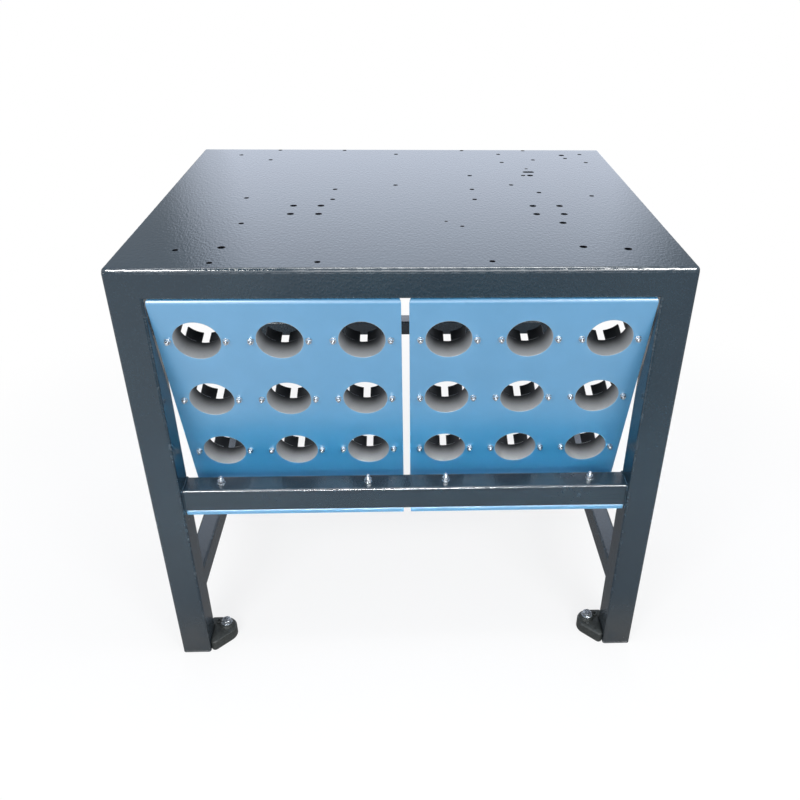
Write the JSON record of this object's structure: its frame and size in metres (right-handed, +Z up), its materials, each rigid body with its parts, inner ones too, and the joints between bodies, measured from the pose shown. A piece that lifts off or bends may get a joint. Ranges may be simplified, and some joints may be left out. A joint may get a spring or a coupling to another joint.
{
  "type": "assembly table",
  "caption": "Welded steel assembly table with a drilled top and two sloping tube racks under the front edge.",
  "frame": {"origin": "on the floor under the middle of the table, at the centre of the overall width and depth", "axes": "+X to the right seen from the front, +Y to the back, +Z up"},
  "size_m": [1, 0.84, 0.895],
  "materials": {
    "frame_paint": "textured anthracite enamel, semi-gloss",
    "rack_paint": "gloss sky-blue enamel",
    "tube_plastic": "satin light grey",
    "lug_paint": "black enamel over a rough casting",
    "zinc": "bright zinc plate"
  },
  "bodies": {
    "root": {"anchor_bolts": "zinc", "anchor_washers": "zinc", "foot_lug_front_left": "lug_paint", "foot_lug_front_right": "lug_paint", "foot_lug_rear_left": "lug_paint", "foot_lug_rear_right": "lug_paint", "foot_plate_front_left": "frame_paint", "foot_plate_front_right": "frame_paint", "foot_plate_rear_left": "frame_paint", "foot_plate_rear_right": "frame_paint", "leg_front_left": "frame_paint", "leg_front_right": "frame_paint", "leg_rear_left": "frame_paint", "leg_rear_right": "frame_paint", "middle_rail_front": "frame_paint", "middle_rail_rear": "frame_paint", "rack_bottom_flange_left": "rack_paint", "rack_bottom_flange_right": "rack_paint", "rack_panel_left": "rack_paint", "rack_panel_right": "rack_paint", "rack_top_flange_left": "rack_paint", "rack_top_flange_right": "rack_paint", "rail_bolt_nuts": "zinc", "rail_bolt_washers": "zinc", "rail_bolts": "zinc", "screw_nuts_left": "zinc", "screw_nuts_right": "zinc", "screw_washers_left": "zinc", "screw_washers_right": "zinc", "side_stretcher_left": "frame_paint", "side_stretcher_right": "frame_paint", "top_plate": "frame_paint", "top_rail_front": "frame_paint", "top_rail_left": "frame_paint", "top_rail_rear": "frame_paint", "top_rail_right": "frame_paint", "tube_left_r1_c1": "tube_plastic", "tube_left_r1_c2": "tube_plastic", "tube_left_r1_c3": "tube_plastic", "tube_left_r2_c1": "tube_plastic", "tube_left_r2_c2": "tube_plastic", "tube_left_r2_c3": "tube_plastic", "tube_left_r3_c1": "tube_plastic", "tube_left_r3_c2": "tube_plastic", "tube_left_r3_c3": "tube_plastic", "tube_right_r1_c1": "tube_plastic", "tube_right_r1_c2": "tube_plastic", "tube_right_r1_c3": "tube_plastic", "tube_right_r2_c1": "tube_plastic", "tube_right_r2_c2": "tube_plastic", "tube_right_r2_c3": "tube_plastic", "tube_right_r3_c1": "tube_plastic", "tube_right_r3_c2": "tube_plastic", "tube_right_r3_c3": "tube_plastic", "tube_screws_left": "zinc", "tube_screws_right": "zinc", "upper_flange_bolts": "zinc"}
  },
  "joints": []
}
